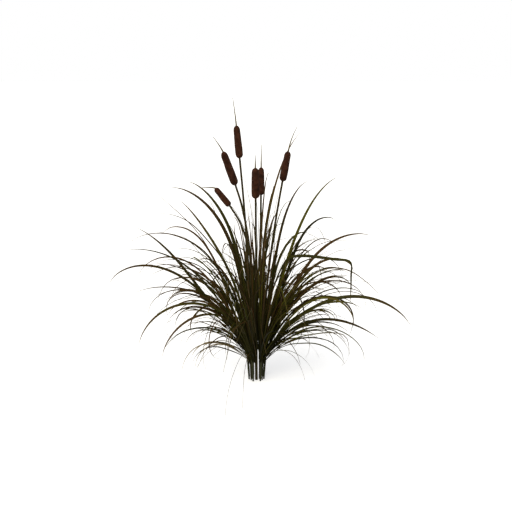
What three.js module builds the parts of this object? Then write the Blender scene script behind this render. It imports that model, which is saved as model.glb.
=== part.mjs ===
// A clump of cattail (Typha), cut off level at the ground so that it stands on its cut shoots.
// Millimetres and degrees, +Z up; the origin is the middle of the foot, on the surface it stands on.
// Azimuth 0 points along +X and 90 along +Y.
import * as THREE from "three";

// Foot: leaf shoots in a ring round one middle shoot, with the flower stems standing between them.
const RING = { x: 36, y: 42, splay: 0.075 };
const SHOOT = { diameter: 10.5, across: 25, deep: 10, sides: 8, steps: 3 };
const MIDDLE_SHOOT_HEIGHT = 165;
const STEM_RING_RADIUS = 20;
const SLOT = 5.8; // between the blades that leave one shoot side by side
const GAP = 0.3; // between pieces that touch

const BLADE = { root: 4, thickness: 1.8, steps: 14 };
const TUFT = { root: 3, thickness: 1.6, steps: 12 };
const STEM = { foot: 11, neck: 8, sides: 8, steps: 10 };
const TIP = { base: 6, point: 1.6, sides: 6, steps: 5 };
const HEAD_SIDES = 12;

// Flower stalks: where the stem stands in the foot, which way it goes, and what it carries.
// stem: [length, lean, droop, power]; head: [length, diameter]; tip: [length, further droop, power]
const STALKS = [
  { name: "tallest", foot: 150, azimuth: 152, stem: [1030, 1.3, 5, 1.2], head: [142, 34], tip: [120, 4, 1] },
  { name: "left_high", foot: 210, azimuth: 212, stem: [934, 0, 22, 3.1], head: [158, 35], tip: [80, 17, 0.25] },
  { name: "left_low", foot: 90, azimuth: 160, stem: [834, 1.5, 41, 4.4], head: [104, 30], tip: [78, 58, 0.15] },
  { name: "front", foot: 270, azimuth: 268, stem: [886, 2, 11, 1.4], head: [136, 36], tip: [60, 14, 1] },
  { name: "back", foot: 30, azimuth: 88, stem: [859, 1, 12, 1.4], head: [126, 32], tip: [104, 4, 1] },
  { name: "right", foot: 330, azimuth: 350, stem: [942, 2.8, 7.5, 1.4], head: [132, 33], tip: [110, 18, 1] },
];

// Leaf shoots round the foot, and the blades and tufts that leave each one, in order of azimuth.
// blade: [azimuth, length, lean, droop, power, width, twist, ...sharper bends {at, by, over}]
// tuft: [azimuth, low edge [length, lean, droop, power], high edge [length, lean, droop, power]]
const SHOOTS = [
  {
    at: 300, height: 125,
    tufts: [
      [284, [690, 46, 130, 1.3], [700, 8, 44, 2.0]],
      [305, [550, 44, 116, 1.5], [740, 9, 46, 2.0]],
    ],
    blades: [
      [322, 690, 34, 146, 3.6, 13, 40],
      [332, 645, 36, 88, 1.5, 14, 45],
    ],
  },
  {
    at: 345, height: 135,
    blades: [
      [340, 960, 8, 28, 1.5, 15, 50, { at: 0.5, by: 68, over: 0.14 }, { at: 0.81, by: 80, over: 0.03 }],
      [346, 808, 36, 113, 1.9, 17, 50],
      [358, 690, 21, 148, 4, 14, 55],
    ],
    tufts: [
      [352, [600, 46, 102, 1.5], [600, 9, 66, 2.0]],
    ],
  },
  {
    at: 20, height: 130,
    blades: [
      [4, 800, 21, 88, 3.2, 15, 55],
      [17, 910, 13, 55, 4, 14, 50],
      [26, 800, 17, 135, 5.5, 14, 45],
    ],
    tufts: [
      [10, [640, 44, 98, 1.6], [700, 10, 62, 2.0]],
    ],
  },
  {
    at: 58, height: 145,
    tufts: [
      [33, [640, 44, 92, 1.7], [760, 8, 52, 2.2]],
      [66, [620, 40, 85, 1.7], [820, 7, 40, 2.2]],
    ],
    blades: [
      [40, 845, 11, 72, 6, 13, 35],
      [49, 1073, 0.5, 61, 2.7, 10, 30],
    ],
  },
  {
    at: 112, height: 140,
    tufts: [
      [92, [620, 42, 84, 1.7], [820, 5, 36, 2.2]],
      [118, [620, 40, 86, 1.7], [820, 7, 38, 2.2]],
    ],
    blades: [
      [134, 860, 19, 52, 1.4, 13, -35],
      [146, 905, 9, 80, 3.5, 16, -45],
    ],
  },
  {
    at: 158, height: 130,
    tufts: [
      [152, [540, 42, 98, 1.6], [640, 9, 56, 2.0]],
      [169, [540, 40, 104, 1.6], [760, 12, 28, 1.4]],
    ],
    blades: [
      [161, 930, 4, 88, 2.7, 17, -55],
      [177, 780, 35, 26, 4, 14, -50],
    ],
  },
  {
    at: 200, height: 135,
    blades: [
      [184, 785, 23, 72, 2, 14, 50],
      [190, 795, 17, 140, 6, 13, -50],
      [197, 860, 32, 122, 3.2, 14, -50],
    ],
    tufts: [
      [204, [520, 42, 106, 1.6], [740, 3, 45, 1.3]],
    ],
  },
  {
    at: 245, height: 125,
    blades: [
      [212, 770, 20, 143, 1.6, 14, -40],
      [223, 690, 24, 142, 1.7, 13, -35],
    ],
    tufts: [
      [238, [540, 44, 96, 1.6], [740, 9, 46, 2.0]],
      [260, [690, 46, 124, 1.3], [740, 8, 42, 2.0]],
    ],
  },
];
const MIDDLE_TUFT = [180, [520, 9, 26, 1.6], [740, 2, 12, 1.6]];

const { degToRad, lerp, smoothstep, clamp } = THREE.MathUtils;

// Stations along a growing axis in its own upright plane: it sets out `lean` off vertical and bends by
// `droop` more towards its end, later the higher `power` is; `bends` adds sharper ones.
function growth([length, lean, droop, power], steps, bends = []) {
  const angleAt = (share) => {
    const sharp = bends.reduce((sum, { at, by, over }) => {
      return sum + by * smoothstep(share, at - over / 2, at + over / 2);
    }, 0);
    return degToRad(lean + droop * share ** power + sharp);
  };
  const stations = [];
  let x = 0;
  let z = 0;
  for (let i = 0; i <= steps; i++) {
    stations.push({ x, z, angle: i === 0 ? 0 : angleAt(i / steps) }); // the first section is level
    const angle = angleAt((i + 0.5) / steps);
    x += (Math.sin(angle) * length) / steps;
    z += (Math.cos(angle) * length) / steps;
  }
  return stations;
}

// Moves each vertex of a straight geometry, one unit tall and one unit across, to its place.
function reshape(geometry, steps, place) {
  const position = geometry.getAttribute("position");
  const point = new THREE.Vector3();
  for (let i = 0; i < position.count; i++) {
    point.fromBufferAttribute(position, i);
    const station = Math.round((point.z + 0.5) * steps);
    position.setXYZ(i, ...place(point.x, point.y, station, station / steps));
  }
  geometry.deleteAttribute("normal");
  geometry.deleteAttribute("uv");
  return geometry;
}

// A section `deep` thick in the bending plane and `across` wide, turned by `twist`; u and v run -0.5 to 0.5.
function sectionPoint(station, u, v, deep, across, twist) {
  const face = u * deep * Math.cos(twist) - v * across * Math.sin(twist);
  const side = u * deep * Math.sin(twist) + v * across * Math.cos(twist);
  return [
    station.x + face * Math.cos(station.angle),
    side,
    station.z - face * Math.sin(station.angle),
  ];
}

function rod(sides, steps) {
  return new THREE.CylinderGeometry(0.5, 0.5, 1, sides, steps).rotateX(Math.PI / 2);
}

function strip(steps) {
  return new THREE.BoxGeometry(1, 1, 1, 1, 1, steps);
}

function taperedRod(line, sides, steps, startDiameter, endDiameter) {
  return reshape(rod(sides, steps), steps, (u, v, i, t) => {
    const diameter = lerp(startDiameter, endDiameter, t);
    return sectionPoint(line[i], u, v, diameter, diameter, 0);
  });
}

function meshOf(name, geometry, material) {
  const mesh = new THREE.Mesh(geometry, material);
  mesh.name = name;
  return mesh;
}

const stemMaterial = new THREE.MeshStandardMaterial({ color: 0x4f4420, roughness: 0.55, metalness: 0 });
const headMaterial = new THREE.MeshStandardMaterial({ color: 0x3d2419, roughness: 0.95, metalness: 0 });
const tipMaterial = new THREE.MeshStandardMaterial({ color: 0x8f8263, roughness: 0.7, metalness: 0 });
const shootMaterial = new THREE.MeshStandardMaterial({ color: 0x3d3f2a, roughness: 0.6, metalness: 0 });
const bladeMaterial = new THREE.MeshStandardMaterial({ color: 0x4f4a1c, roughness: 0.5, metalness: 0 });

const clump = new THREE.Group();

// ---- Flower stalks: stem, brown seed head, dry tip ----
const HEAD_PROFILE = [ // [share of the radius, share of the length]
  [0, 0], [0.45, 0.004], [0.8, 0.035], [0.97, 0.1], [1, 0.22], [0.97, 0.5],
  [0.9, 0.78], [0.76, 0.92], [0.5, 0.985], [0, 1],
];

function stalk({ name, foot, azimuth, stem, head, tip }) {
  const group = new THREE.Group();
  const angle = degToRad(foot);
  group.position.set(STEM_RING_RADIUS * Math.cos(angle), STEM_RING_RADIUS * Math.sin(angle), 0);
  group.rotation.z = degToRad(azimuth);

  const line = growth(stem, STEM.steps);
  const stemShape = taperedRod(line, STEM.sides, STEM.steps, STEM.foot, STEM.neck);
  group.add(meshOf(`stem_${name}`, stemShape, stemMaterial));

  const [headLength, headDiameter] = head;
  const neck = line[STEM.steps];
  const top = new THREE.Group();
  top.position.set(neck.x, 0, neck.z);
  top.rotation.y = neck.angle;
  const outline = HEAD_PROFILE.map(([r, z]) => {
    return new THREE.Vector2((r * headDiameter) / 2, z * headLength);
  });
  const headShape = new THREE.LatheGeometry(outline, HEAD_SIDES).rotateX(Math.PI / 2);
  const headMesh = meshOf(`head_${name}`, headShape, headMaterial);
  headMesh.position.z = GAP;
  top.add(headMesh);

  const [tipLength, tipDroop, tipPower] = tip;
  const tipLine = growth([tipLength, 0, tipDroop, tipPower], TIP.steps);
  const tipShape = taperedRod(tipLine, TIP.sides, TIP.steps, TIP.base, TIP.point);
  const tipMesh = meshOf(`tip_${name}`, tipShape, tipMaterial);
  tipMesh.position.z = headLength + 2 * GAP;
  top.add(tipMesh);
  group.add(top);
  return group;
}

STALKS.forEach((spec) => clump.add(stalk(spec)));

// ---- Leaf shoots: the sheathed foot, its blades and its tufts of fine leaves ----
function shootShape(height, splay) {
  return reshape(rod(SHOOT.sides, SHOOT.steps), SHOOT.steps, (u, v, i, t) => {
    const deep = lerp(SHOOT.diameter, SHOOT.deep, t * t);
    const across = lerp(SHOOT.diameter, SHOOT.across, t * t);
    return [u * deep + t * height * splay, v * across, t * height];
  });
}

// The blade reaches its full width a quarter of the way up and narrows to a point over its last part.
function bladeWidth(t, width) {
  const opening = smoothstep(t, 0, 0.25);
  const narrowing = clamp((1 - t) / 0.45, 0.12, 1) ** 0.8;
  return lerp(BLADE.root, width, opening) * narrowing;
}

function bladeShape([, length, lean, droop, power, width, twist, ...bends]) {
  const line = growth([length, lean, droop, power], BLADE.steps, bends);
  return reshape(strip(BLADE.steps), BLADE.steps, (u, v, i, t) => {
    const deep = BLADE.thickness * (1 - 0.6 * t);
    const turn = degToRad(twist) * smoothstep(t, 0, 0.45);
    return sectionPoint(line[i], u, v, deep, bladeWidth(t, width), turn);
  });
}

// A tuft of fine leaves as one upright fan; its edges are its lowest and its steepest leaves.
function tuftShape([, low, high]) {
  const lowLine = growth(low, TUFT.steps);
  const highLine = growth(high, TUFT.steps);
  return reshape(strip(TUFT.steps), TUFT.steps, (u, v, i) => {
    const share = u + 0.5; // 0 on the high edge, which is the inner one, and 1 on the low edge
    const rootShift = i === 0 ? u * TUFT.root : 0;
    const x = lerp(highLine[i].x, lowLine[i].x, share) + rootShift;
    return [x, v * TUFT.thickness, lerp(highLine[i].z, lowLine[i].z, share)];
  });
}

let shootCount = 0;
let bladeCount = 0;
let tuftCount = 0;

function bladeMesh(blade) {
  bladeCount += 1;
  const number = String(bladeCount).padStart(2, "0");
  return meshOf(`leaf_${number}`, bladeShape(blade), bladeMaterial);
}

function tuftMesh(tuft) {
  tuftCount += 1;
  return meshOf(`tuft_${tuftCount}`, tuftShape(tuft), bladeMaterial);
}

function leafShoot({ at, height, blades = [], tufts = [] }) {
  const group = new THREE.Group();
  const angle = degToRad(at);
  group.position.set(RING.x * Math.cos(angle), RING.y * Math.sin(angle), 0);
  group.rotation.z = angle;
  shootCount += 1;
  group.add(meshOf(`shoot_${shootCount}`, shootShape(height, RING.splay), shootMaterial));

  const grown = [...blades, ...tufts].sort((a, b) => a[0] - b[0]);
  grown.forEach((item, slot) => {
    const mesh = tufts.includes(item) ? tuftMesh(item) : bladeMesh(item);
    const offset = (slot - (grown.length - 1) / 2) * SLOT;
    mesh.position.set(RING.splay * height, offset, height + GAP);
    mesh.rotation.z = degToRad(item[0] - at);
    group.add(mesh);
  });
  return group;
}

SHOOTS.forEach((spec) => clump.add(leafShoot(spec)));

clump.add(meshOf("shoot_middle", shootShape(MIDDLE_SHOOT_HEIGHT, 0), shootMaterial));
const middleTuft = meshOf("tuft_middle", tuftShape(MIDDLE_TUFT), bladeMaterial);
middleTuft.position.z = MIDDLE_SHOOT_HEIGHT + GAP;
middleTuft.rotation.z = degToRad(MIDDLE_TUFT[0]);
clump.add(middleTuft);

export default clump;
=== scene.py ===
# %% [markdown]
# # A clump of cattail, cut at the ground
# A cattail plant is a bundle of leaf shoots with flower stems between them. Each shoot is a fan of
# sheathing leaf bases that opens into long narrow blades; each stem carries a brown seed head of packed
# down with a dry tip above it. The model is made the same way, from the ground up: shoots, stems, heads,
# tips, large blades, then the many fine ones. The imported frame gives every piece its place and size, so
# this script first learns to read the line that each solid follows, and then grows a finer piece along it.

import math
import random

import bmesh
import bpy
from mathutils import Matrix, Vector, noise


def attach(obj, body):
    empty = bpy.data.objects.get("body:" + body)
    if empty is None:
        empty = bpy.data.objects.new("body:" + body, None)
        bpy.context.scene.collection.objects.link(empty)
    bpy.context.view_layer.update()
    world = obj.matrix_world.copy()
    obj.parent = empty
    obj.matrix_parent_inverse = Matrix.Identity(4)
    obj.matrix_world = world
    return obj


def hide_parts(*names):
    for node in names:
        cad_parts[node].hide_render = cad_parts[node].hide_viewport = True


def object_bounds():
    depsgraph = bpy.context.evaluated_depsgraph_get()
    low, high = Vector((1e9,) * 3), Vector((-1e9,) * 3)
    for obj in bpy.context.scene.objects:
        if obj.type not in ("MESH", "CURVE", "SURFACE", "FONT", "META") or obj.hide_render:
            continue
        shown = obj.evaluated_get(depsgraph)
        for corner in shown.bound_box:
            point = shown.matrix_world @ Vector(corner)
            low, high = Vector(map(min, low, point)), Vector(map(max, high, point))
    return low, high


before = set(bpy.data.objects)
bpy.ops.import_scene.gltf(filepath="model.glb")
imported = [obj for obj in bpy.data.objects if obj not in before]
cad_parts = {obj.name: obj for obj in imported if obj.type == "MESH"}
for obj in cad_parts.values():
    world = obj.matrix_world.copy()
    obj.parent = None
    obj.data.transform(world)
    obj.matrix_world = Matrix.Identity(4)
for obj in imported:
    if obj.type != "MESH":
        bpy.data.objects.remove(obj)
cad_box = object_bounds()
HEIGHT = cad_box[1].z
print("nodes:", len(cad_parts), "clump height (m):", round(HEIGHT, 3))

# %% [markdown]
# ## The camera
# The plant is seen from a little above its middle, from far enough away that near and far leaves keep
# almost the same scale. A 50 mm lens 3.2 m away does that. The camera looks at a point just under half
# of the clump's height, so the tallest tip and the foot both stay inside the picture.

# %% Camera
LENS_MM = 50
VIEW_DISTANCE = 3.2
VIEW_ELEVATION = math.radians(15)
LOOK_AT = Vector((-0.002, 0, 0.461 * HEIGHT))

camera = bpy.data.objects.new("camera", bpy.data.cameras.new("camera"))
bpy.context.scene.collection.objects.link(camera)
camera.data.lens = LENS_MM
back = Vector((0, -math.cos(VIEW_ELEVATION), math.sin(VIEW_ELEVATION)))
camera.location = LOOK_AT + back * VIEW_DISTANCE
camera.rotation_euler = back.to_track_quat("Z", "Y").to_euler()
bpy.context.scene.camera = camera
print("camera at", [round(c, 3) for c in camera.location])

# %% [markdown]
# ## Reading the frame
# A CAD strip or rod is a stack of sections. Its mesh arrives as loose triangles, so a copy is welded
# first. From the section at the foot, one step along the edges always reaches the next section and no
# further, so walking outwards step by step gives the sections in order. The middles of the sections are
# the line that the piece follows, and the long side of each section gives its width and its turn.

# %% Sections of a CAD node
WELD = 1e-5
ROD_CAP = 9    # corners of a stem's or a shoot's end, with its middle point
TIP_CAP = 7
STRIP_CAP = 4


def sections_of(node, near, cap):
    """The corner points of each section in order, from the end whose `cap` points lie nearest to near."""
    bm = bmesh.new()
    bm.from_mesh(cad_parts[node].data)
    bmesh.ops.remove_doubles(bm, verts=bm.verts, dist=WELD)
    bm.verts.index_update()
    section = sorted(bm.verts, key=lambda v: (v.co - near).length)[:cap]
    seen = set(section)
    sections = []
    while section:
        sections.append([v.co.copy() for v in section])
        reached = {e.other_vert(v) for v in section for e in v.link_edges} - seen
        seen |= reached
        section = sorted(reached, key=lambda v: v.index)
    bm.free()
    return sections


def middle(points):
    return sum(points, Vector()) / len(points)


def nearest_axis(node):
    """The point of a node that is nearest to the upright axis of the clump: where it leaves its shoot."""
    points = [v.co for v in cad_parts[node].data.vertices]
    return min(points, key=lambda p: p.x * p.x + p.y * p.y).copy()


def lowest(node):
    return min((v.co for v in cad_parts[node].data.vertices), key=lambda p: p.z).copy()


strip = sections_of("leaf_01", nearest_axis("leaf_01"), STRIP_CAP)
print("leaf_01 has", len(strip), "sections of", len(strip[1]), "corners")

# %% [markdown]
# ## Which way a section faces
# The width of a blade must not jump from one side to the other between two sections, and its hollow
# upper side must look towards the stem. At the root the width runs round the clump, so it starts on the
# side that puts the hollow inwards, and every later section keeps to the side of the one before.

# %% Width directions


def across_at(azimuth):
    """The level direction round the clump that has the hollow side of a blade facing the stem."""
    return Vector((math.sin(azimuth), -math.cos(azimuth), 0))


def azimuth_of(middles):
    """The direction in which a piece grows away from its root."""
    out = middles[-1] - middles[0]
    return math.atan2(out.y, out.x)


def half_widths(sections):
    """Half of each rectangular section's long side, as a vector."""
    halves = []
    before = across_at(azimuth_of([middle(points) for points in sections]))
    for corners in sections:
        near_to_far = sorted(corners, key=lambda p: (p - corners[0]).length)
        half = (near_to_far[2] - near_to_far[0]) / 2
        if half.dot(before) < 0:
            half.negate()
        halves.append(half)
        before = half
    return halves


print("leaf_01 widths (mm):", [round(half.length * 2000, 1) for half in half_widths(strip)][::3])

# %% [markdown]
# ## A smooth line through the sections
# Straight steps of 60 mm would show as corners, so each piece follows a Catmull-Rom curve through the
# middles of the sections. The same formula works on any list of values, so it also carries the width
# direction along the blade.

# %% Smooth sampling


def sample(values, t):
    """The value at share t of a list, on a smooth curve that passes through every item."""
    place = min(max(t, 0), 1) * (len(values) - 1)
    i = min(int(place), len(values) - 2)
    f = place - i
    b, c = values[i], values[i + 1]
    a = values[i - 1] if i > 0 else 2 * b - c
    d = values[i + 2] if i + 2 < len(values) else 2 * c - b
    return 0.5 * (2 * b + (c - a) * f + (2 * a - 5 * b + 4 * c - d) * f * f
                  + (3 * b - a - 3 * c + d) * f * f * f)


def mix(a, b, share):
    return a + (b - a) * share


def smooth(t):
    t = min(max(t, 0), 1)
    return t * t * (3 - 2 * t)


def heading(line, t, step=0.01):
    """The direction of a line at share t."""
    return (sample(line, min(t + step, 1)) - sample(line, max(t - step, 0))).normalized()


print("a quarter of the way along 0, 10, 10:", sample([0.0, 10.0, 10.0], 0.25))

# %% [markdown]
# ## One helper for every long piece
# Blades, stems, tips and heads are all skins round a line. A flat grid from bmesh can be rolled into
# such a skin: its short side wraps round the section, its long side runs along the piece, and a weld
# closes the seam. The grid brings its own UV map, with U round the piece and V along it, so streaks and
# dry ends can follow the surface later. The open ends are filled with one face each.

# %% Roll a grid into a closed skin
SEAM = 2e-6


def rolled(around, along, place):
    """A closed skin: place(u, v) gives the point for shares u round the section and v along the piece."""
    bm = bmesh.new()
    bm.loops.layers.uv.new("UVMap")
    bmesh.ops.create_grid(bm, x_segments=around, y_segments=along, size=0.5, calc_uvs=True)
    for vert in bm.verts:
        u, v = vert.co.x + 0.5, vert.co.y + 0.5
        vert.co = place(0.0 if u > 0.9999 else u, v)
    bmesh.ops.remove_doubles(bm, verts=bm.verts, dist=SEAM)
    rims = [e for e in bm.edges if e.is_boundary]
    if rims:
        bmesh.ops.holes_fill(bm, edges=rims, sides=0)
    bmesh.ops.recalc_face_normals(bm, faces=bm.faces)
    return bm


def piece_from(name, skins, looks=None):
    """Joins finished skins in one mesh object; a skin's look is how dry and how pale that part is."""
    joined = bmesh.new()
    dry_layer = joined.verts.layers.float.new("dry")
    pale_layer = joined.verts.layers.float.new("pale")
    for index, skin in enumerate(skins):
        part = bpy.data.meshes.new("part")
        skin.to_mesh(part)
        skin.free()
        before = len(joined.verts)
        joined.from_mesh(part)
        bpy.data.meshes.remove(part)
        joined.verts.ensure_lookup_table()
        for vert in joined.verts[before:]:
            vert[dry_layer], vert[pale_layer] = looks[index] if looks else (0.5, 0.5)
    mesh = bpy.data.meshes.new(name)
    joined.to_mesh(mesh)
    joined.free()
    for polygon in mesh.polygons:
        polygon.use_smooth = True
    piece = bpy.data.objects.new(name, mesh)
    bpy.context.scene.collection.objects.link(piece)
    return piece


test = rolled(6, 4, lambda u, v: Vector((math.cos(math.tau * u), math.sin(math.tau * u), v)))
print("a rolled test skin has", len(test.verts), "points and", len(test.faces), "faces")
test.free()

# %% [markdown]
# ## Shader groups
# Three effects turn up in several finishes. *Streaks* are the fine parallel veins that run along a blade
# or a stem. *Mottle* is the uneven staining of dry plant matter. *Dry ends* turns the share along a blade
# and the blade's own dryness into one mask, so that a leaf browns from its tip downwards and a dead leaf
# is brown all over.

# %% Node helpers


def new_group(name, inputs, outputs):
    group = bpy.data.node_groups.new(name, "ShaderNodeTree")
    for socket, kind, value in inputs:
        made = group.interface.new_socket(socket, in_out="INPUT", socket_type=kind)
        if value is not None:
            made.default_value = value
    for socket, kind in outputs:
        group.interface.new_socket(socket, in_out="OUTPUT", socket_type=kind)
    return group, group.nodes.new("NodeGroupInput"), group.nodes.new("NodeGroupOutput")


def feed(tree, value, socket):
    """Puts a number, a colour or another node's output into a socket."""
    if isinstance(value, (int, float)):
        socket.default_value = value
    elif isinstance(value, tuple):
        socket.default_value = (*value, 1)
    else:
        tree.links.new(value, socket)


def maths(tree, operation, *values):
    node = tree.nodes.new("ShaderNodeMath")
    node.operation = operation
    for value, socket in zip(values, node.inputs):
        feed(tree, value, socket)
    return node.outputs[0]


def remap(tree, value, low, high, to_low, to_high):
    node = tree.nodes.new("ShaderNodeMapRange")
    for number, socket in zip((value, low, high, to_low, to_high), node.inputs):
        feed(tree, number, socket)
    return node.outputs["Result"]


def blend(tree, factor, first, second):
    """Mixes two colours; each is a socket or a plain linear colour."""
    node = tree.nodes.new("ShaderNodeMix")
    node.data_type = "RGBA"
    feed(tree, factor, node.inputs["Factor"])
    for colour, socket in zip((first, second), [s for s in node.inputs if s.type == "RGBA"]):
        feed(tree, colour, socket)
    return next(s for s in node.outputs if s.type == "RGBA")


print("node helpers ready")

# %% Streaks, mottle and dry ends


def streaks_group():
    """Fine lines along the piece: noise squeezed across it and stretched along it."""
    group, entry, result = new_group(
        "Streaks",
        [("UV", "NodeSocketVector", None), ("Count", "NodeSocketFloat", 24.0),
         ("Length", "NodeSocketFloat", 3.0)],
        [("Mask", "NodeSocketFloat")])
    stretch = group.nodes.new("ShaderNodeVectorMath")
    stretch.operation = "MULTIPLY"
    scale = group.nodes.new("ShaderNodeCombineXYZ")
    group.links.new(entry.outputs["Count"], scale.inputs["X"])
    group.links.new(entry.outputs["Length"], scale.inputs["Y"])
    group.links.new(entry.outputs["UV"], stretch.inputs[0])
    group.links.new(scale.outputs[0], stretch.inputs[1])
    lines = group.nodes.new("ShaderNodeTexNoise")
    lines.inputs["Scale"].default_value = 1.0
    lines.inputs["Detail"].default_value = 3.0
    group.links.new(stretch.outputs[0], lines.inputs["Vector"])
    group.links.new(remap(group, lines.outputs["Fac"], 0.3, 0.7, 0.0, 1.0), result.inputs["Mask"])
    return group


def mottle_group():
    """Soft stains, from the object's own coordinates."""
    group, entry, result = new_group(
        "Mottle",
        [("Vector", "NodeSocketVector", None), ("Scale", "NodeSocketFloat", 40.0)],
        [("Mask", "NodeSocketFloat")])
    stains = group.nodes.new("ShaderNodeTexNoise")
    stains.inputs["Detail"].default_value = 4.0
    stains.inputs["Roughness"].default_value = 0.6
    group.links.new(entry.outputs["Vector"], stains.inputs["Vector"])
    group.links.new(entry.outputs["Scale"], stains.inputs["Scale"])
    group.links.new(remap(group, stains.outputs["Fac"], 0.35, 0.68, 0.0, 1.0), result.inputs["Mask"])
    return group


def dry_ends_group():
    """How dry the surface is: dryness moves the edge of the brown part down the blade."""
    group, entry, result = new_group(
        "Dry ends",
        [("Along", "NodeSocketFloat", 0.5), ("Dryness", "NodeSocketFloat", 0.5),
         ("Waver", "NodeSocketFloat", 0.0)],
        [("Mask", "NodeSocketFloat")])
    start = remap(group, entry.outputs["Dryness"], 0.0, 1.0, 1.0, -0.1)
    edge = maths(group, "MULTIPLY_ADD", entry.outputs["Waver"], 0.25, start)
    beyond = maths(group, "SUBTRACT", entry.outputs["Along"], edge)
    group.links.new(remap(group, beyond, -0.12, 0.3, 0.0, 1.0), result.inputs["Mask"])
    return group


STREAKS, MOTTLE, DRY_ENDS = streaks_group(), mottle_group(), dry_ends_group()
print("groups:", STREAKS.name, MOTTLE.name, DRY_ENDS.name)

# %% [markdown]
# ## Finishes
# Every finish is one Principled shader fed by the groups. The colours are dark: living cattail leaves are
# a deep olive, they turn russet from the tip, and dead ends are straw coloured. Every blade also has a
# brightness of its own, so neighbours stand apart, and painted shade darkens its foot. Nothing here is
# glossy, so the specular level is low.

# %% Start a material


def finish(name, roughness, specular):
    """A new node material; gives its tree, its shader and its output sockets for Object and UV."""
    material = bpy.data.materials.new(name)
    material.use_nodes = True
    tree = material.node_tree
    shader = tree.nodes["Principled BSDF"]
    shader.inputs["Roughness"].default_value = roughness
    shader.inputs["Specular IOR Level"].default_value = specular
    coordinates = tree.nodes.new("ShaderNodeTexCoord")
    return material, tree, shader, coordinates.outputs["Object"], coordinates.outputs["UV"]


def place_group(tree, group, **values):
    """Puts a shared group in a tree; each named input is a socket or a number."""
    node = tree.nodes.new("ShaderNodeGroup")
    node.node_tree = group
    for name, value in values.items():
        feed(tree, value, node.inputs[name])
    return node.outputs["Mask"]


def along_piece(tree, uv):
    split = tree.nodes.new("ShaderNodeSeparateXYZ")
    tree.links.new(uv, split.inputs[0])
    return split.outputs["Y"]


def attribute(tree, name):
    node = tree.nodes.new("ShaderNodeAttribute")
    node.attribute_name = name
    return node.outputs["Fac"]


def bump(tree, shader, height, strength, distance):
    node = tree.nodes.new("ShaderNodeBump")
    node.inputs["Strength"].default_value = strength
    node.inputs["Distance"].default_value = distance
    tree.links.new(height, node.inputs["Height"])
    tree.links.new(node.outputs["Normal"], shader.inputs["Normal"])


print("finish helpers ready")

# %% Blade finish
# The deepest leaf colour serves the dark veins, each blade's own tone, and the painted shade at a blade's
# foot.
LEAF_DARK_AND_SHADE = (0.0045, 0.0045, 0.0010)
LEAF_OLIVE = (0.096, 0.088, 0.0060)
LEAF_GREY_GREEN = (0.040, 0.042, 0.0190)
LEAF_RUSSET = (0.086, 0.044, 0.0120)
LEAF_STRAW = (0.240, 0.185, 0.095)
OWN_JUMPS = 7.0   # dryness times this, without its whole part, differs from blade to blade
GREEN_BRIGHTNESS = (0.25, 1.6)
RUST_BRIGHTNESS = (0.5, 1.3)
# painted shade: the foot of a blade is painted darker, as if it lay in shade among the shoots
SHADED_FOOT = 0.3   # brightness at the foot of a blade, among the shoots


def blade_finish(name, straw_share):
    """Green to russet to straw: a dry blade browns from its tip, a withered one is straw all over, and
    painted shade darkens its foot.
    """
    material, tree, shader, place, uv = finish(name, 0.55, 0.06)
    along = along_piece(tree, uv)
    dry, pale = attribute(tree, "dry"), attribute(tree, "pale")
    veins = place_group(tree, STREAKS, UV=uv, Count=30.0, Length=4.0)
    stains = place_group(tree, MOTTLE, Vector=place, Scale=24.0)
    living = blend(tree, pale, LEAF_OLIVE, LEAF_GREY_GREEN)
    own = maths(tree, "FRACT", maths(tree, "MULTIPLY", dry, OWN_JUMPS))
    # painted shade: the colour darkens towards the blade's foot, where it would lie in shade among the
    # shoots
    painted_foot_shade = remap(tree, along, 0.0, 0.5, SHADED_FOOT, 1.0)
    foot_shade_and_tone = maths(tree, "MULTIPLY", painted_foot_shade, remap(tree, own, 0.0, 1.0, *GREEN_BRIGHTNESS))
    shaded = maths(tree, "MULTIPLY", veins, foot_shade_and_tone)
    green = blend(tree, shaded, LEAF_DARK_AND_SHADE, living)
    dryness = place_group(tree, DRY_ENDS, Along=along, Dryness=dry, Waver=stains)
    veined = remap(tree, veins, 0.0, 1.0, 0.35, 1.0)
    rust = maths(tree, "MULTIPLY", veined, remap(tree, own, 0.0, 1.0, *RUST_BRIGHTNESS))
    rusty = blend(tree, rust, LEAF_DARK_AND_SHADE, LEAF_RUSSET)
    browned = blend(tree, dryness, green, rusty)
    worn = maths(tree, "MULTIPLY", remap(tree, along, 0.86, 1.0, 0.0, straw_share),
                 remap(tree, stains, 0.0, 1.0, 0.5, 1.0))
    withered = maths(tree, "MAXIMUM", worn, remap(tree, dry, 1.05, 1.25, 0.0, 0.9))
    tree.links.new(blend(tree, withered, browned, LEAF_STRAW), shader.inputs["Base Color"])
    tree.links.new(remap(tree, veins, 0.0, 1.0, 0.48, 0.66), shader.inputs["Roughness"])
    bump(tree, shader, veins, 0.5, 0.0006)
    return material


blade_material = blade_finish("cattail blade", 0.35)
fine_material = blade_finish("cattail fine blade", 0.45)
print("made", blade_material.name, "and", fine_material.name)

# %% [markdown]
# ## Stalk finishes
# Stems, shoots and dry tips are all streaked along their length, with stains where they have weathered.
# A painted picture could give that, but noise stretched along the piece stays sharp at any size. One
# function makes all three; only the colours, the number of streaks and the roughness differ.

# %% Stem, shoot and tip finishes


def stalk_finish(name, dark, light, stain, count, roughness):
    """Streaked stalk: dark and light run along it in fine lines, and stains turn parts of it."""
    material, tree, shader, place, uv = finish(name, roughness, 0.1)
    lines = place_group(tree, STREAKS, UV=uv, Count=count, Length=8.0)
    stains = place_group(tree, MOTTLE, Vector=place, Scale=22.0)
    streaked = blend(tree, lines, dark, light)
    part = maths(tree, "MULTIPLY", stains, 0.5)
    tree.links.new(blend(tree, part, streaked, stain), shader.inputs["Base Color"])
    rough = remap(tree, lines, 0.0, 1.0, roughness - 0.1, roughness + 0.1)
    tree.links.new(rough, shader.inputs["Roughness"])
    bump(tree, shader, lines, 0.4, 0.0004)
    return material


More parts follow.
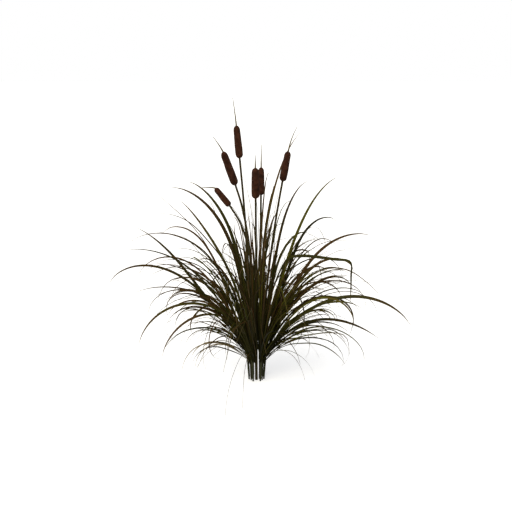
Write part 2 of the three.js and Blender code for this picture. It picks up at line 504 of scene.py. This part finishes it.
stem_material = stalk_finish("cattail stem", (0.011, 0.009, 0.0020), (0.042, 0.034, 0.0065),
                             (0.040, 0.022, 0.0065), 18.0, 0.55)
shoot_material = stalk_finish("cattail shoot", (0.012, 0.015, 0.0060), (0.046, 0.054, 0.0240),
                              (0.040, 0.034, 0.0120), 22.0, 0.6)
tip_material = stalk_finish("cattail tip", (0.090, 0.077, 0.0380), (0.200, 0.170, 0.1000),
                            (0.070, 0.054, 0.0240), 9.0, 0.75)
print("made", stem_material.name, shoot_material.name, tip_material.name)

# %% [markdown]
# ## Seed head finish
# The head is packed down: very rough, without a highlight, warm where the seed ends are worn and nearly
# black between them. A cell pattern gives the ends of the seeds, and a little sheen stands for the down.

# %% Seed head finish
HEAD_DARK = (0.020, 0.0068, 0.0032)
HEAD_WARM = (0.056, 0.0190, 0.0095)
HEAD_WORN = (0.085, 0.0390, 0.0210)
SEEDS_PER_METRE = 900.0


def head_finish():
    material, tree, shader, place, _ = finish("cattail seed head", 0.95, 0.03)
    shader.inputs["Sheen Weight"].default_value = 0.03
    shader.inputs["Sheen Roughness"].default_value = 0.6
    stains = place_group(tree, MOTTLE, Vector=place, Scale=55.0)
    seeds = tree.nodes.new("ShaderNodeTexVoronoi")
    seeds.inputs["Scale"].default_value = SEEDS_PER_METRE
    tree.links.new(place, seeds.inputs["Vector"])
    seed = remap(tree, seeds.outputs["Distance"], 0.0, 0.6, 1.0, 0.0)
    velvet = blend(tree, stains, HEAD_DARK, HEAD_WARM)
    flecks = maths(tree, "MULTIPLY", seed, remap(tree, stains, 0.3, 1.0, 0.0, 0.4))
    tree.links.new(blend(tree, flecks, velvet, HEAD_WORN), shader.inputs["Base Color"])
    bump(tree, shader, seed, 0.6, 0.0008)
    return material


head_material = head_finish()
print("made", head_material.name)

# %% [markdown]
# ## Handing a piece to the frame
# A finished piece takes its material, rides on the plant's only body and hides the plain solid that it
# stands for.

# %% Hand over


def hand_over(piece, material, slot, *nodes):
    piece.data.materials.append(material)
    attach(piece, "root")
    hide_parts(*nodes)
    return piece


print("hand_over is ready")

# %% [markdown]
# ## Flower stems
# A cattail stem is a plain solid cane, thickest at the ground. Its lowest leaves clasp it, and each
# clasping sheath ends in a small step. The cane is rolled round the smooth line of the CAD stem, and the
# steps are added to its radius, with the oblique edge that a real sheath has.

# %% Stems
STALK_NAMES = ["tallest", "left_high", "left_low", "front", "back", "right"]
STEM_AROUND, STEM_ALONG = 20, 110
STEM_FOOT_RADIUS, STEM_NECK_RADIUS = 0.0050, 0.0046
SHEATH_ENDS = (0.20, 0.41)
SHEATH_WALL = 0.0007
SHEATH_SLANT, SHEATH_EDGE = 0.02, 0.006   # shares of the stem's length


def line_of(node, near, cap):
    """The middles of a rod's sections; the middle point of its far end isn't a section of its own."""
    middles = [middle(points) for points in sections_of(node, near, cap)]
    if (middles[-1] - middles[-2]).length < 1e-3:
        middles.pop()
    return middles


def round_skin(line, around, along, radius):
    """A round skin along a line; radius(t, turn) may change along it and round it."""
    def place(u, v):
        ahead = heading(line, v)
        side = ahead.cross(Vector((0, 1, 0))).normalized()
        turn = math.tau * u
        out = side * math.cos(turn) + ahead.cross(side) * math.sin(turn)
        point = sample(line, v) + out * radius(v, turn)
        point.z = max(point.z, 0)   # the cut is level
        return point
    return rolled(around, along, place)


def stem_radius(seed):
    def radius(t, turn):
        plain = mix(STEM_FOOT_RADIUS, STEM_NECK_RADIUS, t)
        for end in SHEATH_ENDS:
            edge = end + SHEATH_SLANT * math.sin(turn + seed)
            plain += SHEATH_WALL * (1 - smooth((t - edge) / SHEATH_EDGE))
        return plain
    return radius


stem_lines = {}
for index, name in enumerate(STALK_NAMES):
    node = "stem_" + name
    stem_lines[name] = line_of(node, lowest(node), ROD_CAP)
    skin = round_skin(stem_lines[name], STEM_AROUND, STEM_ALONG, stem_radius(index * 1.7))
    hand_over(piece_from("cane_" + name, [skin]), stem_material, "stem", node)
print("stem sections:", {name: len(line) for name, line in stem_lines.items()})

# %% [markdown]
# ## Dry tips
# Above the brown head stands the rest of the flower spike. Its pollen flowers have dropped and leave a
# thin straw-coloured point, a little ragged. Knots of the old flowers are small swellings along it.

# %% Tips
TIP_AROUND, TIP_ALONG = 10, 60
TIP_BASE_RADIUS, TIP_POINT_RADIUS = 0.0034, 0.0009
KNOTS, KNOT_SIZE = 26, 0.3   # how close the swellings are, and their share of the radius


def tip_radius(seed):
    def radius(t, turn):
        taper = mix(TIP_BASE_RADIUS, TIP_POINT_RADIUS, t ** 0.9)
        ragged = noise.noise(Vector((t * KNOTS + seed, math.cos(turn), math.sin(turn))))
        return taper * (1 + KNOT_SIZE * ragged)
    return radius


tip_lines = {}
for index, name in enumerate(STALK_NAMES):
    node = "tip_" + name
    tip_lines[name] = line_of(node, stem_lines[name][-1], TIP_CAP)
    skin = round_skin(tip_lines[name], TIP_AROUND, TIP_ALONG, tip_radius(index * 9.1))
    hand_over(piece_from("spike_" + name, [skin]), tip_material, "tip", node)
print("tip sections:", {name: len(line) for name, line in tip_lines.items()})

# %% [markdown]
# ## Seed heads
# The head is a sausage of down packed round the stem, rounded below and narrower above. Its surface is
# thousands of tiny seed ends, so the skin is fine enough to carry real lumps: broad, soft hollows where
# it has been pressed, and a fine grain over them. The grain is geometry, and the finish adds the rest.

# %% Heads
HEAD_AROUND, HEAD_ALONG = 96, 150
HEAD_FOOT, HEAD_SHOULDER = 0.12, 0.15   # shares of the length that its two round ends take
HEAD_TAPER, TAPER_START = 0.13, 0.25
LOW_END, LOW_END_SHARE = 0.96, 0.3   # a head is a little narrower near its lower end
LUMP_SCALE, LUMP_HEIGHT = 45, 0.0006
GRAIN_SCALE, GRAIN_HEIGHT = 620, 0.00035
SKIN_INSET = 0.0003   # so that lumps and grain don't make the head thicker


def head_outline(t):
    """Share of the greatest radius at share t of the length."""
    foot = math.sqrt(max(0.0, 1 - (1 - min(t / HEAD_FOOT, 1)) ** 2))
    into_shoulder = max((t - 1 + HEAD_SHOULDER) / HEAD_SHOULDER, 0)
    shoulder = math.sqrt(max(0.0, 1 - into_shoulder ** 2))
    taper = 1 - HEAD_TAPER * smooth((t - TAPER_START) / (1 - TAPER_START))
    return foot * shoulder * taper * mix(LOW_END, 1, smooth(t / LOW_END_SHARE))


def head_radius(name):
    """The radius of a CAD head, as the farthest point from its axis."""
    low, high = stem_lines[name][-1], tip_lines[name][0]
    axis = (high - low).normalized()
    points = [v.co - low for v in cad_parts["head_" + name].data.vertices]
    return max((p - axis * p.dot(axis)).length for p in points)


def head_skin(name, seed):
    low, high = stem_lines[name][-1], tip_lines[name][0]
    radius = head_radius(name)
    axis = (high - low).normalized()
    side = axis.cross(Vector((0, 1, 0))).normalized()
    front = axis.cross(side)

    def place(u, v):
        turn = math.tau * u
        share = 0.5 - 0.5 * math.cos(math.pi * v)
        out = side * math.cos(turn) + front * math.sin(turn)
        plain = low + axis * (high - low).length * share + out * radius * head_outline(share)
        lumps = noise.noise(plain * LUMP_SCALE + Vector((seed, 0, 0))) * LUMP_HEIGHT
        grain = noise.noise(plain * GRAIN_SCALE + Vector((0, seed, 0))) * GRAIN_HEIGHT
        return plain + out * (lumps + grain - SKIN_INSET) * head_outline(share)
    return rolled(HEAD_AROUND, HEAD_ALONG, place)


for index, name in enumerate(STALK_NAMES):
    piece = piece_from("seed_head_" + name, [head_skin(name, 3.3 * index)])
    hand_over(piece, head_material, "head", "head_" + name)
print("heads:", {name: round(head_radius(name) * 2000, 1) for name in STALK_NAMES}, "mm thick")

# %% [markdown]
# ## Shoots
# Below the blades each shoot is a rod of leaf bases rolled tightly round one another. It is cut level at
# the ground and opens a little at its top. The outermost bases end at different heights, each with its
# slanting edge, so the radius steps down there as it does on the stems. Younger, thinner shoots stand
# between the main ones, and each is part of the piece of its older neighbour.

# %% Main shoots
RING_SHOOTS = sorted(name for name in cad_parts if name.startswith("shoot_") and name[6:].isdigit())
SHOOT_AROUND, SHOOT_ALONG = 24, 44
SHEATH_STEPS = (0.45, 0.7, 0.88)
STEP_SIZE, STEP_SLANT, STEP_EDGE = 0.06, 0.05, 0.02   # shares of the radius and of the length
RIBS, RIB_SIZE = 5, 0.035
SHOOT_FOOT, SHOOT_TOP_NARROW, SHOOT_TOP_WIDE = 0.0037, 0.0046, 0.0080   # half sizes


def rod_skin(middles, half_out, half_across, out, seed):
    """A bundle of rolled leaf bases along a line, with its two half sizes given at each section."""
    across = Vector((-out.y, out.x, 0))

    def place(u, v):
        turn = math.tau * u
        size = 1 + RIB_SIZE * math.cos(RIBS * turn + seed)
        for end in SHEATH_STEPS:
            edge = end + STEP_SLANT * math.sin(turn + seed * end * 7)
            size -= STEP_SIZE * smooth((v - edge) / STEP_EDGE)
        flat = out * (sample(half_out, v) * size * math.cos(turn))
        wide = across * (sample(half_across, v) * size * math.sin(turn))
        return sample(middles, v) + flat + wide
    return rolled(SHOOT_AROUND, SHOOT_ALONG, place)


def outward(middles):
    """The level direction in which a shoot leans; the middle shoot counts as leaning to the front."""
    out = Vector((middles[-1].x, middles[-1].y, 0))
    return out.normalized() if out.length > 1e-3 else Vector((0, -1, 0))


def main_shoot(node, seed):
    """A shoot's line and its skin; the rod flattens towards the top, where its leaves fan out."""
    middles = line_of(node, lowest(node), ROD_CAP)
    count = len(middles)
    narrow = [mix(SHOOT_FOOT, SHOOT_TOP_NARROW, i / (count - 1)) for i in range(count)]
    wide = [mix(SHOOT_FOOT, SHOOT_TOP_WIDE, (i / (count - 1)) ** 2) for i in range(count)]
    return middles, rod_skin(middles, narrow, wide, outward(middles), seed)


shoot_lines = {}
shoot_skins = {}
for index, node in enumerate(RING_SHOOTS + ["shoot_middle"]):
    shoot_lines[node], skin = main_shoot(node, 1.3 * index)
    shoot_skins[node] = [skin]
print("main shoots:", len(shoot_lines))

# %% Young shoots between the main ones
YOUNG_RADIUS = 0.0029
YOUNG_HEIGHT, YOUNG_TOP = 0.86, 0.85   # shares of a main shoot's height and of its own radius
YOUNG_EVERY = 2   # one young shoot for two main ones


def between(first, second):
    """A line half way between two shoots, and a little shorter than they are."""
    count = len(first)
    line = [(first[i] + second[i]) / 2 for i in range(count)]
    foot = line[0].copy()
    return [foot + (point - foot) * YOUNG_HEIGHT for point in line]


young_lines = []
for index, node in list(enumerate(RING_SHOOTS))[::YOUNG_EVERY]:
    neighbour = RING_SHOOTS[(index + 1) % len(RING_SHOOTS)]
    line = between(shoot_lines[node], shoot_lines[neighbour])
    sizes = [YOUNG_RADIUS * mix(1, YOUNG_TOP, i / (len(line) - 1)) for i in range(len(line))]
    shoot_skins[node].append(rod_skin(line, sizes, sizes, outward(line), 2.1 * index))
    young_lines.append(line)

for node, skins in shoot_skins.items():
    hand_over(piece_from("sheaths" + node[5:], skins), shoot_material, "shoot", node)
print("young shoots:", len(young_lines))

# %% [markdown]
# ## The blade's section
# A cattail blade is a shallow channel: slightly hollow above, thickest down the middle and thin at both
# edges. Near the tip it flattens, and at its base it clasps the rod. One function gives the section for
# any blade, as a path round it, so the same skin helper makes the broad leaves and the fine ones.

# %% Blade section
EDGE_THICKNESS = 0.0003
FINEST = 0.0011   # the width of a blade at its very tip
TIP_THICKNESS = 0.0006
FLATTENING = 0.8   # share of its hollow that a blade loses by its tip
WIDENING_END, NARROWING_START, NARROWING_POWER = 0.2, 0.5, 2.8


def blade_point(u, half_width, channel, thickness):
    """Across and up for share u round the section: the upper side runs out and the lower side back."""
    upper = u < 0.5
    across = 4 * u - 1 if upper else 3 - 4 * u
    rise = channel * half_width * (across * across - 0.5)
    wall = EDGE_THICKNESS + (thickness - EDGE_THICKNESS) * (1 - across * across)
    return across * half_width, rise + (wall / 2 if upper else -wall / 2)


def blade_width(t, root, full):
    """It widens over its first fifth and narrows to a point over its outer half."""
    widening = mix(root, full, smooth(t / WIDENING_END))
    narrowed = max((t - NARROWING_START) / (1 - NARROWING_START), 0)
    return widening * (1 - narrowed ** NARROWING_POWER)


def blade_skin(line, sides, around, along, root, full, thickness, channel):
    """A blade along a line; sides(t) gives the width direction."""
    def place(u, v):
        ahead = heading(line, v, 0.5 / along)
        side = sides(v)
        side = (side - ahead * side.dot(ahead)).normalized()
        half = max(blade_width(v, root, full) / 2, FINEST / 2)
        hollow = channel * (1 - FLATTENING * v)
        across, rise = blade_point(u, half, hollow, mix(thickness, TIP_THICKNESS, v))
        return sample(line, v) + side * across + side.cross(ahead) * rise
    return rolled(around, along, place)


print("a blade 14 mm wide is", round(blade_width(0.9, 0.004, 0.014) * 1000, 1), "mm wide near its tip")

# %% [markdown]
# ## Large blades
# Each large leaf follows its own CAD strip. The strip's long side gives the width and the turn of the
# blade, the curve smooths its steps, and a little waver keeps it from looking drawn with a ruler. Its
# base goes on down along the rod that it clasps.

# %% Large blades
BLADE_AROUND, BLADE_ALONG = 12, 72
BLADE_ROOT, BLADE_THICKNESS, BLADE_CHANNEL = 0.0075, 0.0026, 0.35
BASE_DROPS = (0.062, 0.031)
CLASP = 0.7   # how far out from the rod's middle line a base stays, as a share of its root's distance
WAVER = 9   # radians of sideways waver along a blade
LEAF_NODES = sorted(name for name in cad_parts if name.startswith("leaf_"))
chance = random.Random(7)


def clasping(root):
    """Two points below a blade's root, on the near side of the rod that it grows from."""
    rod = min(shoot_lines.values(), key=lambda line: (line[-1] - root).length)
    along = (rod[-1] - rod[0]).normalized()
    offset = root - rod[-1]
    return [rod[-1] + offset * CLASP - along * drop for drop in BASE_DROPS]


def large_blade(node):
    """The skin of one large leaf, along its own strip and down its rod."""
    sections = sections_of(node, nearest_axis(node), STRIP_CAP)
    halves = half_widths(sections)
    full = max(half.length for half in halves) * 2
    waver_phase, waver_size = chance.uniform(0, math.tau), chance.uniform(0.002, 0.006)
    line = []
    for i, corners in enumerate(sections):
        t = i / (len(sections) - 1)
        waver = math.sin(WAVER * t + waver_phase)
        line.append(middle(corners) + halves[i].normalized() * waver_size * waver * t)
    directions = [half.normalized() for half in halves]
    line = clasping(line[0]) + line
    directions = [directions[0]] * len(BASE_DROPS) + directions
    return blade_skin(line, lambda t: sample(directions, t), BLADE_AROUND, BLADE_ALONG,
                      BLADE_ROOT, full, BLADE_THICKNESS, BLADE_CHANNEL)


for node in LEAF_NODES:
    look = (chance.uniform(0.0, 0.8), chance.uniform(0.0, 0.5))
    hand_over(piece_from("blade_" + node[-2:], [large_blade(node)], [look]), blade_material, "blade", node)
print("large blades:", len(LEAF_NODES))

# %% [markdown]
# ## Tufts of fine leaves
# A tuft's solid is a fan: one edge follows its steepest leaf and the other its lowest. Every fine leaf in
# it is a mixture of the two. The edges give two lists of leaning angles, a leaf takes a share of each,
# adds its own droop towards the tip, and swings to one side or the other of the fan. Adding up small
# steps at those angles grows the leaf from its shoot outwards, so its length is real however it bends.

# %% Edges of a fan


def lean_angles(edge):
    """The angle off vertical of each step along an edge."""
    steps = [b - a for a, b in zip(edge, edge[1:])]
    return [math.atan2(math.hypot(s.x, s.y), s.z) for s in steps]


def fan_of(node):
    """Root, azimuth, and for the high and the low edge its leaning angles and its length."""
    sections = sections_of(node, nearest_axis(node), STRIP_CAP)
    middles = [middle(points) for points in sections]
    azimuth = azimuth_of(middles)
    out = Vector((math.cos(azimuth), math.sin(azimuth), 0))
    edges = {}
    for label, sign in (("high", -1), ("low", 1)):
        edge = []
        for corners in sections:
            ranked = sorted(corners, key=lambda p: (p - middle(corners)).dot(out) * 3 - p.z)
            edge.append(middle(ranked[2:] if sign > 0 else ranked[:2]))
        length = sum((b - a).length for a, b in zip(edge, edge[1:]))
        edges[label] = (lean_angles(edge), length)
    return middles[0], azimuth, edges


for node in ("tuft_1", "tuft_9"):
    root, azimuth, edges = fan_of(node)
    print(node, "points to", round(math.degrees(azimuth)) % 360, "degrees; edges:",
          {label: (round(length, 3), round(math.degrees(angles[0])), round(math.degrees(angles[-1])))
           for label, (angles, length) in edges.items()})

# %% [markdown]
# ## Kinds of fine leaf
# A tuft isn't made of equal leaves. Some are nearly as broad as the large blades, most are narrow, some
# are wisps that wave about, and the lowest are short and arch straight over. In the middle and at the
# front many stand upright, and a few thin ones hang low over the foot. Each kind is one row of ranges,
# and every leaf draws its own values from its row.

# %% Leaf kinds
KINDS = {
    # width (mm), share of the low edge, reach along the fan, droop, wave, turn and curl (degrees)
    "broad": dict(width=(8.0, 12.0), share=(-0.05, 0.70), reach=(0.75, 1.10), droop=(20, 110),
                  wave=6, turn=20, curl=35),
    "narrow": dict(width=(4.5, 7.5), share=(-0.10, 0.85), reach=(0.60, 1.10), droop=(20, 125),
                   wave=10, turn=20, curl=35),
    "long": dict(width=(4.0, 7.0), share=(-0.05, 0.45), reach=(1.00, 1.25), droop=(10, 110),
                 wave=14, turn=18, curl=30),
    "wisp": dict(width=(2.4, 4.2), share=(-0.15, 0.60), reach=(0.65, 1.20), droop=(-10, 90),
                 wave=22, turn=22, curl=40),
    "upright": dict(width=(4.0, 7.5), share=(-0.20, 0.30), reach=(0.55, 1.00), droop=(-8, 20),
                    wave=5, turn=17, curl=20),
    "low": dict(width=(3.2, 5.8), share=(0.75, 1.15), reach=(0.34, 0.84), droop=(35, 85),
                wave=10, turn=22, curl=30),
    "hanging": dict(width=(1.4, 2.2), share=(0.95, 1.15), reach=(0.75, 0.95), droop=(15, 40),
                    wave=7, turn=6, curl=8),
}
SIDE = {"broad": 4, "narrow": 9, "long": 3, "wisp": 5, "low": 9}
BACK = {"broad": 3, "narrow": 7, "long": 2, "wisp": 6, "low": 1}
FRONT = {"upright": 12, "narrow": 5, "wisp": 5, "hanging": 2}
MIDDLE = {"upright": 16, "wisp": 8}
SIDE_LIMIT = 0.75   # sine of the azimuth beyond which a tuft counts as front or back


def counts_for(node, azimuth):
    """How many leaves of each kind a tuft has; its place in the clump decides."""
    if node == "tuft_middle":
        return MIDDLE
    if math.sin(azimuth) < -SIDE_LIMIT:
        return FRONT
    return BACK if math.sin(azimuth) > SIDE_LIMIT else SIDE


print("fine leaves in a side tuft:", sum(SIDE.values()))

# %% [markdown]
# ## Growing one leaf
# A curve drawn by hand would do for one leaf, but there are hundreds. So each one is grown: it sets out
# from its shoot, and every step leans by one angle and swings round by another, both smooth along the
# leaf. Some leaves have snapped and fold sharply. A leaf that would touch the floor or reach outside the
# clump is raised and shortened, a little at a time, until it fits.

# %% Grow one fine leaf
FINE_STEPS = {"broad": 26, "narrow": 24, "long": 30, "wisp": 24, "upright": 18, "low": 16, "hanging": 22}
FLOOR_CLEARANCE = 0.004
FRONT_RISE = 0.6   # the front of the clump is open at the foot: its leaves stay above this slope
OPEN_FROM = 0.05   # how far in front of the middle that slope begins
HOOKS = (2.0, 5.0)   # the higher it is, the nearer to its tip a leaf bends over
FOLD_CHANCE, FOLD_PLACES, FOLD_ANGLES, FOLD_LENGTH = 0.16, (0.45, 0.85), (25, 75), 0.05
NO_FOLD = 2   # a place beyond the tip
BOBS, SWAYS = 4.5, 4.0   # how often a leaf waves up and down, and from side to side


def grown_line(start, azimuth, angle_at, swing, length, steps):
    """Points of a leaf that sets out from start, leaning by angle_at(t) and swinging round by swing(t)."""
    points = [start.copy()]
    for i in range(steps):
        t = (i + 0.5) / steps
        angle, turned = angle_at(t), azimuth + swing(t)
        level = math.sin(angle)
        step = Vector((level * math.cos(turned), level * math.sin(turned), math.cos(angle)))
        points.append(points[-1] + step * length / steps)
    return points


def astray(line, hanging):
    """Whether a leaf touches the floor, hangs across the foot or leaves the clump's own box."""
    rise = 0 if hanging else FRONT_RISE
    for p in line:
        if p.z < FLOOR_CLEARANCE + rise * max(0, -p.y - OPEN_FROM):
            return True
        if any(p[i] < cad_box[0][i] or p[i] > cad_box[1][i] for i in (0, 1)):
            return True
    return False


def fine_leaf(start, azimuth, edges, name, chance):
    """The line of one leaf, and the direction in which it sets out."""
    kind = KINDS[name]
    share = chance.uniform(*kind["share"])
    reach = chance.uniform(*kind["reach"])
    droop = math.radians(chance.uniform(*kind["droop"]))
    hook = chance.uniform(*HOOKS)
    wave, phase = math.radians(kind["wave"]), chance.uniform(0, 100)
    turn = math.radians(chance.uniform(-kind["turn"], kind["turn"]))
    curl = math.radians(chance.uniform(-kind["curl"], kind["curl"]))
    fold_at = chance.uniform(*FOLD_PLACES) if chance.random() < FOLD_CHANCE else NO_FOLD
    fold = math.radians(chance.uniform(*FOLD_ANGLES))
    (high_angles, high_length), (low_angles, low_length) = edges["high"], edges["low"]
    length = mix(high_length, low_length, share) * reach

    def grow():
        def angle_at(t):
            lean = mix(sample(high_angles, t * reach), sample(low_angles, t * reach), share)
            waving = wave * noise.noise(Vector((phase, t * BOBS, 0))) * min(1, 3 * t)
            return lean + droop * t ** hook + waving + fold * smooth((t - fold_at) / FOLD_LENGTH)

        def swing(t):
            return turn + curl * t * t + wave * noise.noise(Vector((phase, 0, t * SWAYS)))
        return grown_line(start, azimuth, angle_at, swing, length, FINE_STEPS[name])
    line = grow()
    while astray(line, name == "hanging"):
        share, droop, length = max(share - 0.05, 0), droop * 0.85, length * 0.97
        line = grow()
    return line, azimuth + turn


print("leaf kinds:", ", ".join(KINDS))

# %% Give a fine leaf its skin
ROOT_WIDTH, FINE_THICKNESS, FINE_CHANNEL = 0.0040, 0.0016, 0.4
FACING_TWIST, TWIST_SPREAD, LATE_TWIST = math.radians(55), 25, 70
OTHER_WAY = 0.2   # share of the leaves that turn the other way
TWIST_END = 0.4   # share of its length over which a leaf turns
YOUNG_SHARE = 0.25   # share of the leaves that leave from a young shoot
START_DROP, START_SPREAD = 0.03, 0.004


def facing_twist(azimuth, chance):
    """How a blade turns on its way out: side leaves show their upper face to the front or the back."""
    side = -1 if chance.random() < OTHER_WAY else 1
    own_twist = math.radians(chance.uniform(-TWIST_SPREAD, TWIST_SPREAD))
    return side * FACING_TWIST * math.cos(azimuth) + own_twist


def fine_skin(line, azimuth, width, chance, sides):
    """A fine leaf's skin: it turns early to face one way, and on towards its tip by an angle of its own."""
    early = facing_twist(azimuth, chance)
    late = math.radians(chance.uniform(-LATE_TWIST, LATE_TWIST))
    across = across_at(azimuth)

    def side_at(t):
        twist = early * smooth(t / TWIST_END) + late * t * t
        return Matrix.Rotation(twist, 3, heading(line, t)) @ across
    return blade_skin(line, side_at, sides, len(line) - 1, ROOT_WIDTH, width, FINE_THICKNESS, FINE_CHANNEL)


def start_of(root, azimuth, chance):
    """A fine leaf leaves from its own shoot or, one time in four, from the nearest young one."""
    direction = Vector((math.cos(azimuth), math.sin(azimuth), 0))
    rod = max(young_lines, key=lambda line: line[-1].dot(direction))
    place = rod[-1] if chance.random() < YOUNG_SHARE else root
    low = chance.uniform(0.0, START_DROP)
    aside = chance.uniform(-START_SPREAD, START_SPREAD)
    return place + Vector((aside, chance.uniform(-START_SPREAD, START_SPREAD), -low))


print("skins for fine leaves ready")

# %% [markdown]
# ## Filling the tufts
# Each tuft draws from random numbers with a seed of its own, so the clump comes out the same on every run.
# The leaves of a tuft join in one piece, because the frame knows the tuft as one solid. How dry and how
# pale a leaf is stays with its points, so one material shows every leaf in its own colour.

# %% Fill the tufts
TUFT_NODES = sorted(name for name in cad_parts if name.startswith("tuft_"))
FINE_SIDES = {"broad": 8, "narrow": 6, "long": 6, "wisp": 4, "upright": 6, "low": 4, "hanging": 4}
FIRST_SEED = 100
WITHERED_SHARE = 0.2   # of the low leaves
WITHERED_DRYNESS, LIVING_DRYNESS = 1.3, (0.0, 0.95)
leaf_count = 0
for index, node in enumerate(TUFT_NODES):
    root, azimuth, edges = fan_of(node)
    chance = random.Random(FIRST_SEED + index)
    in_middle = node == "tuft_middle"
    counts = counts_for(node, azimuth)
    skins, looks = [], []
    for name, count in counts.items():
        for _ in range(count):
            aim = chance.uniform(0, math.tau) if in_middle else azimuth
            line, turned = fine_leaf(start_of(root, aim, chance), aim, edges, name, chance)
            width = chance.uniform(*KINDS[name]["width"]) / 1000
            skins.append(fine_skin(line, turned, width, chance, FINE_SIDES[name]))
            withered = name == "low" and chance.random() < WITHERED_SHARE
            dryness = WITHERED_DRYNESS if withered else chance.uniform(*LIVING_DRYNESS)
            looks.append((dryness, chance.random() ** 2))
    leaf_count += len(skins)
    hand_over(piece_from("fine_leaves" + node[4:], skins, looks), fine_material, "blade", node)
print("fine leaves:", leaf_count, "in", len(TUFT_NODES), "tufts")

# %% [markdown]
# ## Floor and light
# The plant stands on a plain near-white floor. One broad sun from the front left shapes the leaves, and
# an even pale sky fills the shadows. Sky and floor both show white round the plant but light it less than
# they show, so that the inside of the clump stays dark.

# %% Sky
SKY_LIGHT = 0.66
SKY_COLOUR = (0.96, 0.985, 1.03)
scene = bpy.context.scene
scene.view_settings.view_transform = "Standard"
world = bpy.data.worlds.new("sky")
scene.world = world
world.use_nodes = True
sky = world.node_tree
shown = sky.nodes["Background"]
shown.inputs["Color"].default_value = (1, 1, 1, 1)
shown.inputs["Strength"].default_value = 1.0
lighting = sky.nodes.new("ShaderNodeBackground")
lighting.inputs["Color"].default_value = (*SKY_COLOUR, 1)
lighting.inputs["Strength"].default_value = SKY_LIGHT
ray = sky.nodes.new("ShaderNodeLightPath")
either = sky.nodes.new("ShaderNodeMixShader")
sky.links.new(ray.outputs["Is Camera Ray"], either.inputs["Fac"])
sky.links.new(lighting.outputs[0], either.inputs[1])
sky.links.new(shown.outputs[0], either.inputs[2])
sky.links.new(either.outputs[0], sky.nodes["World Output"].inputs["Surface"])
print("sky lights the clump at", SKY_LIGHT)

# %% Sun and floor
SUN_STRENGTH = 2.7
SUN_COLOUR = (1.0, 0.93, 0.77)
SUN_BREADTH = math.radians(60)
TOWARDS_SUN = Vector((-0.8, -1.1, 1.7))
FLOOR_HALF_SIZE = 60
FLOOR_COLOUR = (0.60, 0.60, 0.60)
FLOOR_SHOWN = 0.55   # how much brighter the floor shows than it lights
sun_light = bpy.data.lights.new("sun", "SUN")
sun_light.energy = SUN_STRENGTH
sun_light.angle = SUN_BREADTH
sun_light.color = SUN_COLOUR
sun = bpy.data.objects.new("sun", sun_light)
scene.collection.objects.link(sun)
sun.rotation_euler = TOWARDS_SUN.to_track_quat("Z", "Y").to_euler()

floor_bm = bmesh.new()
bmesh.ops.create_grid(floor_bm, x_segments=1, y_segments=1, size=FLOOR_HALF_SIZE)
floor_mesh = bpy.data.meshes.new("floor")
floor_bm.to_mesh(floor_mesh)
floor_bm.free()
floor = bpy.data.objects.new("floor", floor_mesh)
scene.collection.objects.link(floor)
floor_material, floor_tree, floor_shader, _, _ = finish("pale floor", 0.9, 0.1)
floor_shader.inputs["Base Color"].default_value = (*FLOOR_COLOUR, 1)
floor_shader.inputs["Emission Color"].default_value = (1, 1, 1, 1)
floor_ray = floor_tree.nodes.new("ShaderNodeLightPath")
floor_glow = maths(floor_tree, "MULTIPLY", floor_ray.outputs["Is Camera Ray"], FLOOR_SHOWN)
floor_tree.links.new(floor_glow, floor_shader.inputs["Emission Strength"])
floor_mesh.materials.append(floor_material)

# %% [markdown]
# The finished pieces have to fill the same box as the plain solids that they replace. The box of the plain
# solids is printed.

print("CAD box:", [[round(c, 3) for c in corner] for corner in cad_box])
